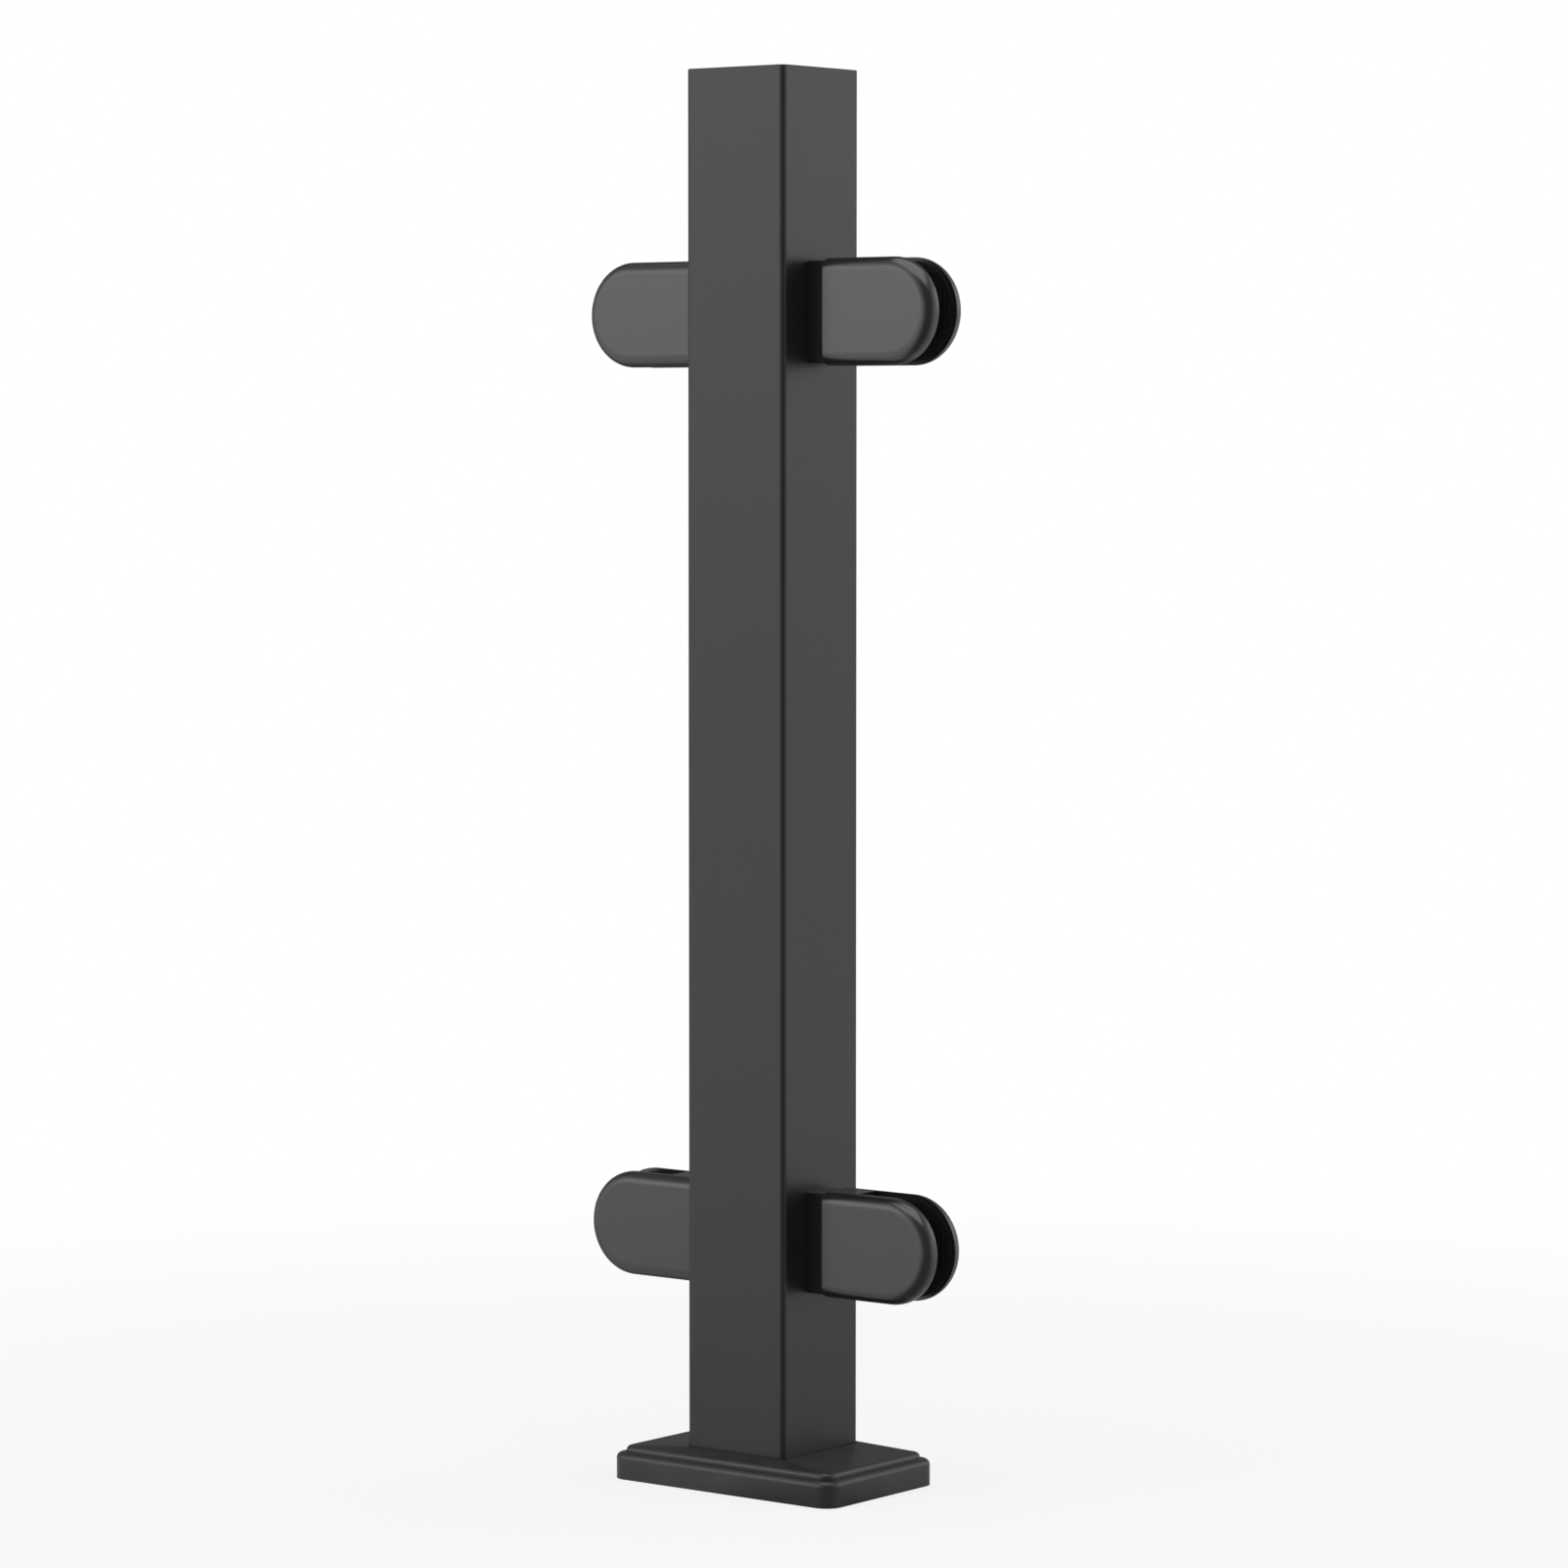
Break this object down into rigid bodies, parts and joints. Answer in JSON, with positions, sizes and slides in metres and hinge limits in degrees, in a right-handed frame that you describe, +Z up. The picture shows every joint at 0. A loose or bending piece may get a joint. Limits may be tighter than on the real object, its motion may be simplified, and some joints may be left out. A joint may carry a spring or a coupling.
{
  "type": "railing post",
  "caption": "Square black railing post on a covered floor flange, with side clamps that hold glass panels on both sides.",
  "frame": {"origin": "on the floor, under the middle of the post", "axes": "+Z up along the post; X along the line of the glass panels; -Y towards the loose front jaws"},
  "size_m": [0.176, 0.072, 0.575],
  "materials": {
    "post_coat": "satin black coat",
    "clamp_coat": "satin charcoal coat",
    "cover_coat": "satin black coat",
    "flange_coat": "matt black coat",
    "cap_plastic": "moulded black",
    "gasket_rubber": "black rubber",
    "screw_steel": "stainless steel"
  },
  "bodies": {
    "root": {"post_tube": "post_coat", "post_cap": "cap_plastic", "base_flange": "flange_coat", "weld_bead": "flange_coat", "upper_right_clamp_body": "clamp_coat", "upper_right_rear_gasket": "gasket_rubber", "upper_right_fixing_screw": "screw_steel", "upper_right_jaw_screws": "screw_steel", "upper_right_rivet_nut": "screw_steel", "upper_left_clamp_body": "clamp_coat", "upper_left_rear_gasket": "gasket_rubber", "upper_left_fixing_screw": "screw_steel", "upper_left_jaw_screws": "screw_steel", "upper_left_rivet_nut": "screw_steel", "lower_right_clamp_body": "clamp_coat", "lower_right_rear_gasket": "gasket_rubber", "lower_right_fixing_screw": "screw_steel", "lower_right_jaw_screws": "screw_steel", "lower_right_rivet_nut": "screw_steel", "lower_left_clamp_body": "clamp_coat", "lower_left_rear_gasket": "gasket_rubber", "lower_left_fixing_screw": "screw_steel", "lower_left_jaw_screws": "screw_steel", "lower_left_rivet_nut": "screw_steel"},
    "cover": {"base_cover": "cover_coat"},
    "upper_right_jaw": {"upper_right_front_jaw": "clamp_coat", "upper_right_front_gasket": "gasket_rubber"},
    "upper_left_jaw": {"upper_left_front_jaw": "clamp_coat", "upper_left_front_gasket": "gasket_rubber"},
    "lower_right_jaw": {"lower_right_front_jaw": "clamp_coat", "lower_right_front_gasket": "gasket_rubber"},
    "lower_left_jaw": {"lower_left_front_jaw": "clamp_coat", "lower_left_front_gasket": "gasket_rubber"}
  },
  "joints": [
    {"name": "cover_slide", "type": "slide", "parent": "root", "child": "cover", "axis": [0, 0, 1], "range_m": [0, 0.0635]},
    {"name": "upper_right_jaw_travel", "type": "slide", "parent": "root", "child": "upper_right_jaw", "axis": [0, -1, 0], "range_m": [0, 0.003]},
    {"name": "upper_left_jaw_travel", "type": "slide", "parent": "root", "child": "upper_left_jaw", "axis": [0, -1, 0], "range_m": [0, 0.003]},
    {"name": "lower_right_jaw_travel", "type": "slide", "parent": "root", "child": "lower_right_jaw", "axis": [0, -1, 0], "range_m": [0, 0.003]},
    {"name": "lower_left_jaw_travel", "type": "slide", "parent": "root", "child": "lower_left_jaw", "axis": [0, -1, 0], "range_m": [0, 0.003]}
  ]
}
